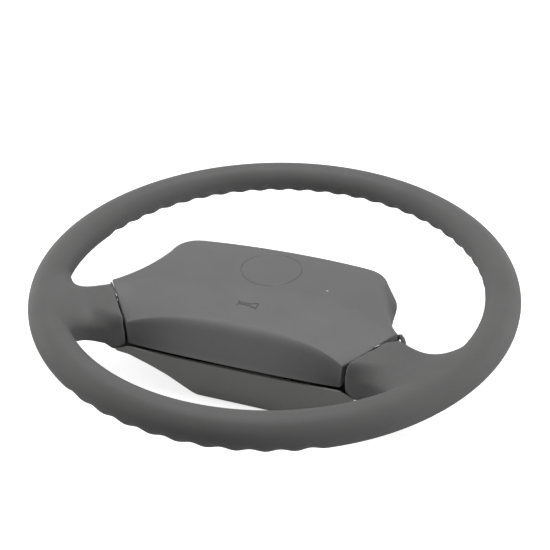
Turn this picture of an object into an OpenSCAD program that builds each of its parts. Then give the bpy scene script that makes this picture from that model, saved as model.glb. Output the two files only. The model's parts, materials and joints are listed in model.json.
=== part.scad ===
// Two-spoke vehicle steering wheel with a sprung horn pad and a back cover.
// Lengths in millimetres. The wheel lies on the flat of its back cover, its shaft axis is Z,
// +Y points to twelve o'clock and +Z towards the driver.

/* [Rim] */
// Outside diameter of the rim
rim_outer_d = 440; // [420:1:460]
// Width of the grip
grip_w = 31; // [28:0.5:34]
// Height of the grip
grip_h = 31; // [28:0.5:34]
// Depth of the finger waves under the grip
wave_depth = 1.8; // [0.5:0.1:2.5]
// Waves that would go round the whole rim
waves_per_turn = 60; // [54:1:66]
// Waves in the group round twelve o'clock
upper_waves = 26; // [18:2:28]
// Waves in the group round six o'clock
lower_waves = 10; // [4:2:12]

/* [Spokes] */
// Height of the spoke top beside the pad, over the middle of the rim
spoke_top_z = 11.5; // [9:0.5:13]
// Height of the spoke's front crease beside the pad
spoke_crease_z = 6.5; // [4:0.5:8]
// Depth of the spoke's front wall beside the pad
spoke_bottom_z = -21.5; // [-24:0.5:-20]
// Depth of the spoke's rear edge beside the pad
spoke_rear_bottom_z = -17; // [-20:0.5:-14]
// How far the spoke top dips between pad and rim
spoke_dish = 1.5; // [0:0.1:3]
// Gap between the pad and a spoke
seam_gap = 1.7; // [1.5:0.1:3]

/* [Horn pad] */
// Half width of the pad at the tips of its seams
pad_tip_x = 130.5; // [126:0.5:134]
// Place of those tips along Y
pad_tip_y = -63; // [-67:0.5:-59]
// Half width of the pad at the front end of its seams
pad_front_x = 96; // [94:0.5:100]
// Place of the front end of the seams along Y
pad_front_y = -106.5; // [-108:0.5:-104]
// Place of the front crease along Y, in the middle
pad_crease_y = -81; // [-84:0.5:-78]
// Front edge of the pad along Y, in the middle
pad_nose_y = -110; // [-113:0.5:-108]
// Half width of the pad at its waist
pad_waist_x = 102; // [99:0.5:105]
// Half width of the straight rear edge
pad_rear_x = 80; // [76:0.5:84]
// Rear edge of the pad's face along Y
pad_rear_y = 35; // [32:0.5:38]
// How far the side and rear walls flare from the face down to the lower edge
pad_flare = 11; // [8:0.5:13]
// Height of the face in the middle
pad_crown_z = 14.5; // [13.5:0.5:16]
// Height of the face at its edge
pad_edge_z = 10; // [9:0.5:12]
// Height of the lower edge
pad_low_z = -18; // [-20:0.5:-17]
// Wall of the pad
pad_wall = 3; // [2:0.25:3.5]
// Travel of the pad when the horn is pressed
horn_travel = 1.8; // [1.2:0.1:1.9]
// Play that the pad has drifted sideways in its seat
pad_drift = -0.2; // [-0.4:0.1:0.4]
// Thickness of the pad's ribs
rib_t = 1.8; // [1.2:0.1:2.5]

/* [Back cover] */
// Height of the middle of the rim over the flat of the back cover
rim_height = 59; // [57:0.5:62]
// Wall of the back cover
cover_wall = 2.5; // [2:0.25:3]
// Half width of the flat of the back cover
cover_flat_x = 33; // [30:0.5:36]
// Diameter of the opening for the column
column_d = 76; // [72:1:80]
// Gap between the pad's lower edge and the back cover
cover_gap = 3.6; // [2.1:0.1:4]

/* [Armature] */
// Thickness of the hub plate
plate_t = 5; // [4:0.25:6]
// Top of the hub plate
plate_top_z = -17; // [-18:0.25:-16.5]
// Width of an arm
arm_w = 26; // [22:0.5:28]
// Thickness of an arm
arm_t = 7; // [5:0.5:8]
// Top of an arm in its spoke
arm_top_z = -2; // [-4:0.25:-1.5]

/* [Hub] */
// Pilot bore at the shaft's side of the hub
pilot_d = 21; // [18:0.5:24]
// Length of the pilot bore
pilot_len = 20; // [16:0.5:22]
// Inner diameter of the serrations
serration_d = 18; // [16:0.5:20]
// Depth of a serration
serration_depth = 0.9; // [0.6:0.1:1.2]
// Number of serrations
serrations = 36; // [24:1:40]
// Diameter of the hub
hub_d = 38; // [36:0.5:42]
// Diameter of the hub's flange under the plate
flange_d = 47; // [45:0.5:48]
// Gap from the hub's mounting end to the flat of the back cover
hub_recess = 4; // [3:0.5:6]

/* [Horn parts] */
// Half distance between the guide posts across the wheel
post_x = 40; // [38:0.5:42]
// Guide post nearest to six o'clock along Y
post_front_y = -62; // [-64:0.5:-60]
// Guide post nearest to twelve o'clock along Y
post_rear_y = -4; // [-6:0.5:-2]
// Diameter of a guide post
post_d = 6; // [5:0.25:7]
// Diameter of a guide post's head
post_head_d = 12.5; // [12:0.25:14]
// Thickness of the pad carrier
carrier_t = 2; // [1.5:0.1:2.5]
// Top of the pad carrier at rest
carrier_top_z = -5; // [-6:0.25:-4.5]
// Outside diameter of a horn spring
spring_d = 12; // [11:0.25:13]
// Wire of a horn spring
spring_wire = 1.2; // [1:0.1:1.5]
// Turns of a horn spring
spring_turns = 4; // [3:0.5:5]
// Radial running clearance of a bush on its post
bush_clear = 0.08; // [0.05:0.01:0.1]
// Gap that the horn contacts close
contact_gap = 1.9; // [1.9:0.1:2.4]
// Gap from the hub's flange to the middle of the slip ring
slip_ring_reach = 4.5; // [4:0.25:6]
// Radial width of the slip ring
slip_ring_w = 6; // [4:0.5:7]

/* [Fasteners] */
// Half distance between the back cover's screws across the wheel
cover_screw_x = 52; // [50:0.5:54]
// Back cover screw nearest to six o'clock along Y
cover_screw_front_y = -78; // [-80:0.5:-76]
// Back cover screw nearest to twelve o'clock along Y
cover_screw_rear_y = 14; // [12:0.5:16]
// Thread diameter of the screws
screw_d = 5; // [4:0.25:5.5]
// Head diameter of the screws
screw_head_d = 9.5; // [9:0.25:10.5]
// Half distance between the pad's screws across the wheel
pad_screw_x = 66; // [64:0.5:68]
// Pad screw nearest to six o'clock along Y
pad_screw_front_y = -68; // [-70:0.5:-66]
// Pad screw nearest to twelve o'clock along Y
pad_screw_rear_y = 4; // [2:0.5:6]

/* [Hidden] */
$fn = 48;
rim_r = (rim_outer_d - grip_w) / 2;
grip_sides = 14;
wave_steps = 4;
plain_steps = 10;
floor_z = -rim_height;
wave_pitch = 360 / waves_per_turn;
upper_span = upper_waves * wave_pitch;
lower_span = lower_waves * wave_pitch;
wave_fade = 0.6;

// Where the spoke edges leave the seam and enter the rim
seam_end = [pad_front_x, pad_front_y];
seam_tip = [pad_tip_x, pad_tip_y];
seam_dir = (seam_tip - seam_end) / norm(seam_tip - seam_end);
seam_normal = [seam_dir[1], -seam_dir[0]];
seam_len = norm(seam_tip - seam_end);
spoke_setback = 0.5;
spoke_front = seam_end + seam_gap * seam_normal;
spoke_rear = seam_tip + seam_gap * seam_normal - spoke_setback * seam_dir;
spoke_rear_angle = -5;
spoke_front_angle = -45;
spoke_steps = 12;
spoke_across = 10;
spoke_sink = 0.5;
spoke_belly = 4;
rear_round = 4;
front_round = 9;
foot_round = 3.5;
rim_blend = 28;
// Pull of the spoke's edges at the seam, and where they bend towards the rim as a share of its radius
rear_pull = [41, -21];
rear_bend = [0.88, -0.225];
front_pull = [23.6, -11.5];
front_bend = [0.655, -0.548];

// Hub and plate levels
plate_low_z = plate_top_z - plate_t;
hub_low_z = floor_z + hub_recess;
hub_top_z = plate_top_z + 5;
flange_t = 4;
fit = 0.1;
clear = 0.3;

// Arms run from the hub plate to the middle of the grip
arm_angle = -27.3;
arm_start = [50, -50];
arm_dir = [cos(arm_angle), sin(arm_angle)];
arm_bend_a = 22;
arm_bend_b = 62;
arm_stop_r = rim_r - 2;
arm_len = sqrt(pow(arm_start * arm_dir, 2) - arm_start * arm_start + arm_stop_r * arm_stop_r)
    - arm_start * arm_dir;

// Horn parts
carrier_low_z = carrier_top_z - carrier_t;
posts = [for (x = [-post_x, post_x], y = [post_front_y, post_rear_y]) [x, y]];
cover_screws = [for (x = [-cover_screw_x, cover_screw_x], y = [cover_screw_front_y, cover_screw_rear_y])
    [x, y]];
pad_screws = [for (x = [-pad_screw_x, pad_screw_x], y = [pad_screw_front_y, pad_screw_rear_y])
    [x, y]];
clip_t = 0.8;
clip_l = 7;
bush_flange_t = 1;
bush_flange_d = 12;
bush_wall = 1.5;
post_head_t = 3;
strip_t = 1;
strip_y = -45;
strip_l = 56;
strip_w = 8;
dome_x = 20;
insulator_t = 4;
stud_d = 3;
stud_sleeve_wall = 1.2;
slip_ring_d = flange_d + 2 * slip_ring_reach;
stud_y = -slip_ring_d / 2;
slip_ring_t = 2;
slip_carrier_t = 7;
slip_carrier_d = slip_ring_d + slip_ring_w + 6;
nut_clear_d = 52;
boss_d = 12;
screw_head_t = 3.5;

// Points on curves
function mix(a, b, t) = a + (b - a) * t;
function quad(p, t) = (1 - t) * (1 - t) * p[0] + 2 * t * (1 - t) * p[1] + t * t * p[2];
function cubic(p, t) = pow(1 - t, 3) * p[0] + 3 * t * pow(1 - t, 2) * p[1]
    + 3 * t * t * (1 - t) * p[2] + pow(t, 3) * p[3];
function smooth(t) = let (c = max(0, min(1, t))) c * c * (3 - 2 * c);
function plan(p) = [p[0], p[1]];
function up(p, z) = [p[0], p[1], z];

// A closed body through rings of equal length, capped at both ends
module ring_body(rings) {
    n = len(rings[0]);
    m = len(rings);
    polyhedron(
        points = [for (r = rings, p = r) p],
        faces = concat(
            [[for (k = [0:n - 1]) k]],
            [for (i = [0:m - 2], k = [0:n - 1]) [i * n + k, (i + 1) * n + (k + 1) % n, i * n + (k + 1) % n]],
            [for (i = [0:m - 2], k = [0:n - 1]) [i * n + k, (i + 1) * n + k, (i + 1) * n + (k + 1) % n]],
            [[for (k = [n - 1:-1:0]) (m - 1) * n + k]]
        )
    );
}

// The same, with the last ring joined to the first
module ring_loop(rings) {
    n = len(rings[0]);
    m = len(rings);
    polyhedron(
        points = [for (r = rings, p = r) p],
        faces = concat(
            [for (i = [0:m - 1], k = [0:n - 1])
                [i * n + k, ((i + 1) % m) * n + (k + 1) % n, i * n + (k + 1) % n]],
            [for (i = [0:m - 1], k = [0:n - 1])
                [i * n + k, ((i + 1) % m) * n + k, ((i + 1) % m) * n + (k + 1) % n]]
        )
    );
}

// Rim with its finger waves
function group_angles(middle, span, count) =
    [for (i = [0:count * wave_steps - 1]) middle - span / 2 + i * span / (count * wave_steps)];
function plain_angles(from, to) = [for (i = [0:plain_steps - 1]) mix(from, to, i / plain_steps)];
function ring_angles() = concat(
    group_angles(90, upper_span, upper_waves),
    plain_angles(90 + upper_span / 2, 270 - lower_span / 2),
    group_angles(270, lower_span, lower_waves),
    plain_angles(270 + lower_span / 2, 450 - upper_span / 2)
);
function in_group(a, middle, span) = abs(a - middle) < span / 2;
function wave_at(a) =
    in_group(a, 90, upper_span) ? (1 - cos((a - 90 + upper_span / 2) * waves_per_turn)) / 2
    : in_group(a, 270, lower_span) ? (1 - cos((a - 270 + lower_span / 2) * waves_per_turn)) / 2
    : 0;
function grip_point(a, s) =
    let (cut = wave_depth * wave_at(a) * smooth(-sin(s) / wave_fade),
         r = rim_r + (grip_w / 2 - cut) * cos(s))
    [r * cos(a), r * sin(a), (grip_h / 2 - cut) * sin(s)];

module rim_ring() {
    ring_loop([for (a = ring_angles()) [for (k = [grip_sides - 1:-1:0]) grip_point(a, k * 360 / grip_sides)]]);
}

// Skin of the right spoke: a patch between four edges in plan, with its own top and bottom heights
function rear_edge(u) = cubic([spoke_rear, spoke_rear + rear_pull, rim_r * rear_bend,
    rim_r * [cos(spoke_rear_angle), sin(spoke_rear_angle)]], u);
function front_edge(u) = cubic([spoke_front, spoke_front + front_pull, rim_r * front_bend,
    rim_r * [cos(spoke_front_angle), sin(spoke_front_angle)]], u);
function rim_arc(v) = let (a = mix(spoke_rear_angle, spoke_front_angle, v)) rim_r * [cos(a), sin(a)];
function spoke_plan(u, v) =
    (1 - v) * rear_edge(u) + v * front_edge(u)
    + (1 - u) * mix(spoke_rear, spoke_front, v) + u * rim_arc(v)
    - (1 - u) * (1 - v) * spoke_rear - (1 - u) * v * spoke_front
    - u * (1 - v) * rim_arc(0) - u * v * rim_arc(1);
function seg_dist(p, a, b) =
    let (t = max(0, min(1, (p - a) * (b - a) / ((b - a) * (b - a))))) norm(p - a - (b - a) * t);
function rear_dist(p) = min([for (i = [0:23]) seg_dist(p, rear_edge(i / 24), rear_edge((i + 1) / 24))]);
function front_dist(p) = min([for (i = [0:23]) seg_dist(p, front_edge(i / 24), front_edge((i + 1) / 24))]);
function edge_round(d, r, power) = d >= r ? 1 : pow(1 - pow(1 - max(d, 0) / r, power), 1 / power);
function spoke_point(u, v, top) =
    let (p = spoke_plan(u, v),
         rise = smooth((norm(p) - rim_r + 40) / 40),
         high = mix(mix(spoke_top_z, spoke_crease_z, v * v) - spoke_dish * sin(180 * min(1, u * 1.6)),
                    grip_h / 2 - spoke_sink, rise),
         low = mix(mix(spoke_rear_bottom_z, spoke_bottom_z, v), spoke_sink - grip_h / 2, smooth(u * 1.25))
             - spoke_belly * v * sin(180 * min(1, u * 4)),
         mid = (high + low) / 2,
         rear = edge_round(v == 0 ? 0 : rear_dist(p), mix(rear_round, rim_blend, smooth(u * 1.3)), 2),
         front_r = top ? mix(front_round, rim_blend, smooth(u * 1.5)) : foot_round,
         front = v == 1 ? 0 : edge_round(front_dist(p), front_r, 3))
    up(p, mid + (top ? high - mid : low - mid) * rear * front);
function spoke_station(u) = concat(
    [for (k = [0:spoke_across]) spoke_point(u, (1 - cos(180 * k / spoke_across)) / 2, true)],
    [for (k = [spoke_across - 1:-1:1]) spoke_point(u, (1 - cos(180 * k / spoke_across)) / 2, false)]
);
// Cap of a station, in strips between its top and bottom points
function strip_cap(n, a) = concat(
    [[0, 1, n - 1]],
    [for (k = [1:a - 1]) [k, k + 1, n - k]],
    [for (k = [1:a - 2]) [k + 1, n - k - 1, n - k]]
);
module spoke_skin() {
    n = 2 * spoke_across;
    m = spoke_steps;
    cap = strip_cap(n, spoke_across);
    polyhedron(
        points = [for (i = [0:m], p = spoke_station(i / m)) p],
        faces = concat(
            cap,
            [for (i = [0:m - 1], k = [0:n - 1]) [i * n + k, (i + 1) * n + (k + 1) % n, i * n + (k + 1) % n]],
            [for (i = [0:m - 1], k = [0:n - 1]) [i * n + k, (i + 1) * n + k, (i + 1) * n + (k + 1) % n]],
            [for (f = cap) [m * n + f[2], m * n + f[1], m * n + f[0]]]
        )
    );
}

// Hook moulded on the rear corner of the right spoke, which stands in the open end of the seam
hook_path = [[136.5, -66, 1.5], [134.3, -62.5, 2.5], [132.3, -59, 3], [130.2, -55.5, 2], [127.4, -52.7, -2.5]];
hook_d = 3.4;
module seam_hook() {
    for (i = [0:3])
        hull() {
            translate(hook_path[i]) sphere(d = hook_d, $fn = 10);
            translate(hook_path[i + 1]) sphere(d = hook_d, $fn = 10);
        }
}

// Lip on the spoke's end, which closes most of the seam behind the arm
lip_gap = 0.5;
lip_end = 4.5;
module at_seam() {
    translate([seam_end[0], seam_end[1], 0]) rotate(atan2(seam_dir[1], seam_dir[0])) children();
}
module seam_lip() {
    from = seam_cross + tongue_from + tongue_w + 1;
    low = arm_top_z + clip_t + 0.4;
    at_seam() translate([from, -seam_gap - 0.4, low])
        cube([seam_len - lip_end - from, seam_gap + 0.4 - lip_gap, spoke_top_z - 1.8 - low]);
}

// Side profile of an arm: level on the hub plate, a ramp, then level in the spoke
arm_path = [[0, plate_low_z, plate_t], [arm_bend_a, plate_low_z, plate_t],
            [arm_bend_b, arm_top_z - arm_t, arm_t], [arm_len, arm_top_z - arm_t, arm_t]];
module along_arm() {
    translate([arm_start[0], arm_start[1], 0]) rotate([0, 0, arm_angle]) children();
}
module arm_pocket() {
    along_arm()
        for (i = [0:3]) {
            from = mix(arm_bend_b, arm_len, i / 4);
            to = mix(arm_bend_b, arm_len, (i + 1) / 4);
            hull() {
                for (x = [from, to], y = [-1, 1])
                    translate([x, y * (arm_w / 2 - 2), arm_top_z - arm_t]) cylinder(r = 2, h = arm_t, $fn = 16);
            }
        }
}
module arm() {
    along_arm()
        translate([0, arm_w / 2, 0]) rotate([90, 0, 0]) linear_extrude(arm_w)
            polygon(concat([for (p = arm_path) [p[0], p[1]]],
                           [for (i = [3:-1:0]) [arm_path[i][0], arm_path[i][1] + arm_path[i][2]]]));
}

module both_sides() {
    children();
    mirror([1, 0, 0]) children();
}
module at_rim() {
    translate([0, 0, rim_height]) children();
}

module rim_moulding() {
    color([0.36, 0.36, 0.37]) at_rim() difference() {
        union() {
            rim_ring();
            both_sides() {
                spoke_skin();
                seam_lip();
            }
            seam_hook();
        }
        both_sides() arm_pocket();
    }
}

// Frame that carries the rim: hub plate with two bent arms
module hub_plate() {
    translate([0, 0, plate_low_z]) linear_extrude(plate_t) difference() {
        union() {
            circle(r = flange_d / 2 + 14);
            hull()
                for (p = cover_screws) translate(p) circle(r = 9, $fn = 32);
            both_sides() hull() {
                for (p = posts) translate([abs(p[0]), p[1]]) circle(r = 11, $fn = 32);
                translate(arm_start + 8 * arm_dir) circle(r = arm_w / 2, $fn = 32);
            }
        }
        for (x = [-1, 1]) translate([x * 20, -82]) circle(d = 9);
        translate([-12, 30]) circle(d = 7);
        translate([12, 30]) circle(d = 7);
    }
}
module armature() {
    color([0.2, 0.2, 0.21]) at_rim() difference() {
        union() {
            hub_plate();
            both_sides() arm();
        }
        translate([0, 0, plate_low_z - 1]) cylinder(d = hub_d + 2 * fit, h = plate_t + 2);
        for (p = posts)
            translate([p[0], p[1], plate_low_z - 1]) cylinder(d = post_d - 1 + 2 * fit, h = plate_t + 2);
        for (p = cover_screws)
            translate([p[0], p[1], plate_low_z - 1]) cylinder(d = screw_d + 2 * fit, h = plate_t + 2);
        translate([0, stud_y, plate_low_z - 1])
            cylinder(d = stud_d + 2 * stud_sleeve_wall + 2 * fit, h = plate_t + 2);
    }
}

// Turned hub with its flange, serrations above and pilot bore below
module serration_cut() {
    linear_extrude(hub_top_z - hub_low_z)
        union() {
            circle(d = serration_d);
            for (i = [0:serrations - 1]) rotate([0, 0, i * 360 / serrations])
                polygon([[serration_d / 2 - 0.3, -0.45], [serration_d / 2 + serration_depth, 0],
                         [serration_d / 2 - 0.3, 0.45]]);
        }
}
module hub_boss() {
    color([0.5, 0.5, 0.52]) at_rim() difference() {
        union() {
            translate([0, 0, hub_low_z]) cylinder(d = hub_d, h = hub_top_z - hub_low_z);
            translate([0, 0, plate_low_z - flange_t]) cylinder(d = flange_d, h = flange_t);
        }
        translate([0, 0, hub_low_z + pilot_len]) serration_cut();
        translate([0, 0, hub_low_z - 1]) cylinder(d = pilot_d, h = pilot_len + 1);
        translate([0, 0, hub_low_z - 0.01]) cylinder(d1 = pilot_d + 2, d2 = pilot_d, h = 1);
    }
}

// Outline of the pad from six to twelve o'clock on the right, as stretches of curve
outline_steps = [9, 7, 8, 6, 4];
face_edge = [
    [[0, pad_crease_y], [pad_front_x - 29, pad_crease_y + 1], seam_end],
    [seam_end, (seam_end + seam_tip) / 2 + [1, -0.6], seam_tip],
    [seam_tip, [pad_tip_x - 22, pad_tip_y + 25], [pad_waist_x, 2]],
    [[pad_waist_x, 2], [pad_waist_x, pad_rear_y - 8], [pad_rear_x, pad_rear_y - 5.5]],
    [[pad_rear_x, pad_rear_y - 5.5], [pad_rear_x / 2, pad_rear_y], [0, pad_rear_y]]
];
low_waist = pad_waist_x + pad_flare;
low_rear = pad_rear_y + pad_flare - 1;
low_corner = seam_end + [-1.2, -1];
low_edge = [
    [[0, pad_nose_y], [pad_front_x - 29, pad_nose_y], low_corner],
    [low_corner, (seam_end + seam_tip) / 2, seam_tip + [-1, 1.5]],
    [seam_tip + [-1, 1.5], [low_waist + 2, pad_tip_y + 35], [low_waist, 4]],
    [[low_waist, 4], [low_waist - 1, low_rear - 9], [pad_rear_x + 12, low_rear - 6]],
    [[pad_rear_x + 12, low_rear - 6], [pad_rear_x / 2, low_rear], [0, low_rear]]
];
// Heights of the lower edge along the same stretches, at the ends of each
tip_low_z = 3;
low_z = [[pad_low_z, pad_low_z], [pad_low_z, tip_low_z], [tip_low_z, pad_low_z],
         [pad_low_z, pad_low_z], [pad_low_z, pad_low_z]];
end_open_z = arm_top_z + clip_t + horn_travel + 0.8;
// Where the arm's front side crosses the seam, with room for its clip, as a share of the seam's length
seam_cross = ((arm_start - seam_end) * [arm_dir[1], -arm_dir[0]]) / (seam_dir * [arm_dir[1], -arm_dir[0]]);
open_from = (seam_cross - (arm_w / 2 + clip_t + 1) / (seam_dir * [-arm_dir[1], arm_dir[0]])) / seam_len;
// Rounding between wall and face: wide on the nose, tight at the seams
edge_soft = [[10, 4], [2, 2], [2, 6], [6, 6], [6, 6]];

// The seam's second point lies where the arm's opening begins
function share(i, k, steps) = i == 1 && k > 0 ? mix(open_from, 1, (k - 1) / (steps[1] - 1)) : k / steps[i];
function right_half(curves, steps) =
    [for (i = [0:len(steps) - 1], k = [0:steps[i] - 1]) quad(curves[i], share(i, k, steps))];
function right_values(v, steps) =
    [for (i = [0:len(steps) - 1], k = [0:steps[i] - 1]) mix(v[i][0], v[i][1], smooth(k / steps[i]))];
function low_heights() = [for (i = [0:4], k = [0:outline_steps[i] - 1])
    i == 1 && k > 0 ? end_open_z : mix(low_z[i][0], low_z[i][1], smooth(k / outline_steps[i]))];
function whole(half, last) =
    concat(half, [last], [for (i = [len(half) - 1:-1:1]) [-half[i][0], half[i][1], half[i][2]]]);
function outline_ring(curves, steps, heights) =
    let (h = right_half(curves, steps))
    whole([for (i = [0:len(h) - 1]) up(h[i], heights[i])],
          [0, curves[len(steps) - 1][2][1], heights[len(heights) - 1]]);

// Crowned face, which rolls down to the front crease
function crease_y(x) = pad_crease_y - (pad_crease_y - pad_front_y) * pow(abs(x) / pad_front_x, 3);
function roll(d) = pow(1 - max(0, min(1, d / roll_len)), 2);
function face_height(p) =
    pad_crown_z - (pad_crown_z - pad_edge_z) * (0.45 * pow(p[0] / pad_tip_x, 2)
        + (p[1] > crown_y ? 0.8 * pow((p[1] - crown_y) / (pad_rear_y - crown_y), 2) : 0))
    - (roll_drop + corner_drop * pow(p[0] / pad_front_x, 4)) * roll(p[1] - crease_y(p[0]));
crown_y = -22;
roll_len = 30;
roll_drop = 6;
corner_drop = 3.5;

pad_soft_ring = outline_ring(face_edge, outline_steps, right_values(edge_soft, outline_steps));
pad_face = [for (p = pad_soft_ring) up(plan(p), face_height(p))];
pad_low = outline_ring(low_edge, outline_steps, low_heights());
pad_soft = [for (p = pad_soft_ring) p[2]];
function plateau(p) = [p[0] * 0.2, crown_y + (p[1] - crown_y) * 0.16];
function toward(a, b, d) = a + (b - a) * min(0.48, d / norm(b - a));
function inward(p, d) = let (c = plateau(p), n = norm(plan(p) - c)) up(plan(p) + (c - plan(p)) * d / n, p[2]);

// Rings of the pad: wall, rounded edge and crowned face, all set in by a wall's thickness
function pad_rings(d, steps, soft_steps) =
    let (low = [for (p = pad_low) inward(p, d)],
         face = [for (p = pad_face) inward(p, d) - [0, 0, d]],
         n = len(low),
         soft = [for (i = [0:n - 1]) max(1, pad_soft[i] - d)],
         a = [for (i = [0:n - 1]) toward(face[i], low[i], soft[i])],
         b = [for (i = [0:n - 1]) let (q = inward(face[i], soft[i])) up(plan(q), face_height(q) - d)],
         middle = [for (p = pad_face) up(plateau(p), pad_crown_z - d)])
    concat(
        [low, [for (i = [0:n - 1]) mix(low[i], a[i], 0.5)]],
        [for (s = [0:soft_steps]) [for (i = [0:n - 1]) quad([a[i], face[i], b[i]], s / soft_steps)]],
        [for (s = [1:steps - 1]) [for (i = [0:n - 1])
            let (q = mix(plan(b[i]), plan(middle[i]), s / steps)) up(q, face_height(q) - d)]],
        [middle]
    );
function thinned(rings) = [for (r = rings) [for (i = [0:2:len(r) - 1]) r[i]]];
function flipped(rings) = [for (i = [len(rings) - 1:-1:0]) rings[i]];

module pad_shell() {
    ring_body(concat(flipped(pad_rings(pad_wall, 2, 1)), pad_rings(0, 4, 3)));
}
module pad_block() {
    outer = thinned(pad_rings(pad_wall / 2, 2, 1));
    ring_body(concat([[for (p = outer[0]) up(plan(p), pad_low_z - 5)]], outer));
}
module rib(a, b, low, high) {
    hull()
        for (p = [a, b]) translate([p[0], p[1], low]) cylinder(d = rib_t, h = high - low, $fn = 6);
}
pad_rib_z = 3;
module horn_pad() {
    color([0.44, 0.44, 0.44]) at_rim() translate([pad_drift, 0, 0]) difference() {
        union() {
            pad_shell();
            intersection() {
                pad_block();
                union() {
                    for (p = pad_screws)
                        translate([p[0], p[1], carrier_top_z])
                            cylinder(d = boss_d, h = pad_crown_z - carrier_top_z, $fn = 20);
                    for (y = [pad_screw_front_y, pad_screw_rear_y])
                        rib([-pad_screw_x, y], [pad_screw_x, y], pad_rib_z, pad_crown_z);
                    for (x = [-pad_screw_x, pad_screw_x])
                        rib([x, pad_screw_front_y], [x, pad_screw_rear_y], pad_rib_z, pad_crown_z);
                    both_sides() {
                        rib([pad_screw_x, pad_screw_rear_y], [pad_waist_x - 2, pad_screw_rear_y], pad_rib_z,
                            pad_crown_z);
                        rib([pad_screw_x, pad_screw_front_y], [pad_screw_x, pad_crease_y - 12], 0, pad_crown_z);
                        rib([pad_screw_x, pad_screw_rear_y], [pad_screw_x, pad_rear_y - 2], pad_rib_z, pad_crown_z);
                        rib([22, pad_screw_rear_y], [22, pad_rear_y - 2], pad_rib_z, pad_crown_z);
                    }
                }
            }
        }
        for (p = pad_screws)
            translate([p[0], p[1], carrier_top_z - 1]) cylinder(d = screw_d - 1 + 2 * fit, h = 11, $fn = 24);
    }
}

// Steel plate screwed to the pad's bosses, which slides on the guide posts
module pad_carrier() {
    color([0.55, 0.55, 0.57]) at_rim() translate([pad_drift, 0, carrier_low_z]) difference() {
        linear_extrude(carrier_t)
            hull()
                for (p = pad_screws) translate(p) circle(r = 8, $fn = 32);
        translate([0, 0, -1]) cylinder(d = nut_clear_d, h = carrier_t + 2);
        for (p = posts)
            translate([p[0] - pad_drift, p[1], -1])
                cylinder(d = post_d + 2 * (bush_clear + bush_wall + fit), h = carrier_t + 2);
        for (p = pad_screws) translate([p[0], p[1], -1]) cylinder(d = screw_d + 2 * fit, h = carrier_t + 2);
        both_sides() translate([48, -33, -1]) cylinder(d = 16, h = carrier_t + 2);
    }
}
module pad_screw(p) {
    color([0.7, 0.7, 0.72]) at_rim() translate([p[0] + pad_drift, p[1], 0]) difference() {
        union() {
            translate([0, 0, carrier_low_z]) cylinder(d = screw_d - 1, h = carrier_t + 9);
            translate([0, 0, carrier_low_z - screw_head_t])
                cylinder(d1 = screw_head_d - 2, d2 = screw_head_d, h = screw_head_t);
        }
        cross_recess(carrier_low_z - screw_head_t);
    }
}
// Crossed slot in a screw head, from its lower face
module cross_recess(z) {
    for (a = [0, 90]) rotate([0, 0, a]) translate([-2.5, -0.5, z - 1]) cube([5, 1, 3]);
}

// Posts, bushes and springs that carry the pad
module guide_post(p) {
    color([0.75, 0.75, 0.77]) at_rim() translate([p[0], p[1], 0]) {
        translate([0, 0, plate_low_z]) cylinder(d = post_d - 1, h = plate_t);
        translate([0, 0, plate_top_z]) cylinder(d = post_d, h = carrier_top_z + bush_flange_t - plate_top_z);
        translate([0, 0, carrier_top_z + bush_flange_t]) difference() {
            cylinder(d = post_head_d, h = post_head_t);
            translate([0, 0, post_head_t - 1.6]) cylinder(d = 5, h = 2, $fn = 6);
        }
    }
}
module guide_bush(p) {
    inner = post_d + 2 * bush_clear;
    color([0.9, 0.88, 0.8]) at_rim() translate([p[0], p[1], 0]) difference() {
        union() {
            translate([0, 0, carrier_low_z]) cylinder(d = inner + 2 * bush_wall, h = carrier_t);
            translate([0, 0, carrier_top_z]) cylinder(d = bush_flange_d, h = bush_flange_t);
        }
        translate([0, 0, carrier_low_z - 1]) cylinder(d = inner, h = carrier_t + bush_flange_t + 2);
    }
}
// Compression spring, swept round a helix with closed ends
spring_sides = 5;
spring_steps = 7;
function spring_z(t) =
    let (free = carrier_low_z - plate_top_z - spring_wire - 2 * spring_seat)
    plate_top_z + spring_seat + spring_wire / 2 + free * smooth(t);
spring_seat = 0.05;
module horn_spring(p) {
    r = (spring_d - spring_wire) / 2;
    n = spring_turns * spring_steps;
    color([0.7, 0.7, 0.72]) at_rim() translate([p[0], p[1], 0])
        ring_body([for (i = [0:n]) let (a = i * 360 / spring_steps, z = spring_z(i / n))
            [for (k = [spring_sides - 1:-1:0]) let (s = k * 360 / spring_sides, q = r + spring_wire / 2 * cos(s))
                [q * cos(a), q * sin(a), z + spring_wire / 2 * sin(s)]]]);
}

// Horn contacts: a strip on the carrier meets a strip on an insulator over the hub plate
contact_low = carrier_low_z - strip_t;
dome_h = 0.6;
fixed_top = contact_low - dome_h - contact_gap;
module strip_with_domes(z, side) {
    translate([-strip_l / 2, strip_y - strip_w / 2, z]) cube([strip_l, strip_w, strip_t]);
    for (x = [-dome_x, dome_x])
        translate([x, strip_y, side > 0 ? z + strip_t : z - dome_h])
            cylinder(d1 = side > 0 ? 4 : 2.4, d2 = side > 0 ? 2.4 : 4, h = dome_h);
}
module moving_contact() {
    color([0.78, 0.6, 0.3]) at_rim() translate([pad_drift, 0, 0]) strip_with_domes(contact_low, -1);
}
module fixed_contact() {
    z = fixed_top - dome_h - strip_t;
    color([0.78, 0.6, 0.3]) at_rim() difference() {
        union() {
            strip_with_domes(z, 1);
            translate([-strip_w / 2, strip_y, z]) cube([strip_w, stud_y + 5 - strip_y, strip_t]);
        }
        translate([0, stud_y, z - 1]) cylinder(d = stud_d + 2 * fit, h = strip_t + 2);
    }
}
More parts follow.
